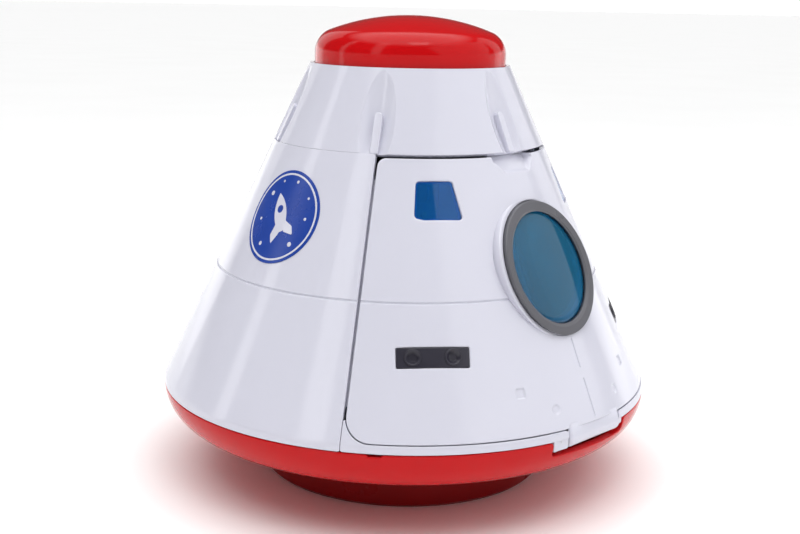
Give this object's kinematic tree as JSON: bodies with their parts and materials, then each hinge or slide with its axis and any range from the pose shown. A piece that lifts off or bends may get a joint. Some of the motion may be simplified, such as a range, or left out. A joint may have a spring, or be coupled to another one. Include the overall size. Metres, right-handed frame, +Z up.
{
  "type": "toy space capsule",
  "caption": "Plastic toy space capsule: white conical shell with a drop-down door and porthole, red rounded base on a foot, red dome push button, small cabin with seats inside.",
  "frame": {"origin": "on the capsule's axis at the table, under the middle of the foot", "axes": "+Z up along the capsule's axis; the door and its hinge face -Y; +X to the right when facing the door's outside from -Y"},
  "size_m": [0.19, 0.1898, 0.1762],
  "materials": {
    "white_plastic": "glossy moulded, faint mould marks",
    "red_plastic": "glossy moulded",
    "deep_red_plastic": "glossy moulded, fine texture under the foot",
    "slate_plastic": "satin paint",
    "frame_grey": "satin paint with a bevel",
    "window_blue": "clear blue, glossy",
    "lens_teal": "clear teal blue, glossy",
    "label_blue": "printed glossy label",
    "cabin_grey": "matt moulded",
    "seat_plastic": "matt moulded",
    "control_orange": "glossy",
    "black_plastic": "matt moulded",
    "screw_steel": "zinc plated",
    "spring_steel": "bright wire",
    "cell_steel": "plated",
    "contact_brass": "bright strip",
    "board_green": "solder mask",
    "wire_red": "insulation",
    "wire_black": "insulation",
    "wire_yellow": "insulation",
    "led_milky": "milky resin"
  },
  "bodies": {
    "capsule": {"heat_shield": "red_plastic", "foot_drum": "deep_red_plastic", "battery_door": "deep_red_plastic", "battery_door_screw": "screw_steel", "battery_cells": "cell_steel", "battery_contacts": "contact_brass", "speaker": "black_plastic", "speaker_clamp": "black_plastic", "speaker_screws": "screw_steel", "main_board": "board_green", "board_parts": "black_plastic", "board_screws": "screw_steel", "base_screws": "screw_steel", "cabin_deck": "white_plastic", "deck_screws": "screw_steel", "hinge_pin": "screw_steel", "rear_shell": "white_plastic", "bulkhead": "cabin_grey", "instrument_panel": "seat_plastic", "panel_buttons": "control_orange", "left_seat": "seat_plastic", "right_seat": "seat_plastic", "cabin_ceiling": "white_plastic", "ceiling_led": "led_milky", "upper_cone": "white_plastic", "cone_screws": "screw_steel", "button_guide": "cabin_grey", "guide_screws": "screw_steel", "button_spring": "spring_steel", "switch_board": "board_green", "switch": "black_plastic", "switch_screws": "screw_steel", "button_wires": "wire_yellow", "speaker_wires": "wire_black", "battery_wires": "wire_red", "emblem_sticker": "label_blue"},
    "door": {"door_panel": "white_plastic", "left_window": "window_blue", "right_window": "window_blue", "porthole_frame": "frame_grey", "porthole_lens": "lens_teal", "left_thruster_plate": "slate_plastic", "right_thruster_plate": "slate_plastic"},
    "button": {"dome_button": "red_plastic", "button_stop_ring": "black_plastic", "button_stop_screw": "screw_steel"}
  },
  "joints": [
    {"name": "door_hinge", "type": "hinge", "parent": "capsule", "child": "door", "pos_m": [0, -0.0916, 0.0348], "axis": [1, 0, 0], "range_deg": [0, 125]},
    {"name": "button_press", "type": "slide", "parent": "capsule", "child": "button", "axis": [0, 0, -1], "range_m": [0, 0.0025], "stiffness_N_per_m": 600, "springref_m": -0.002, "deforming": ["button_spring"]}
  ]
}
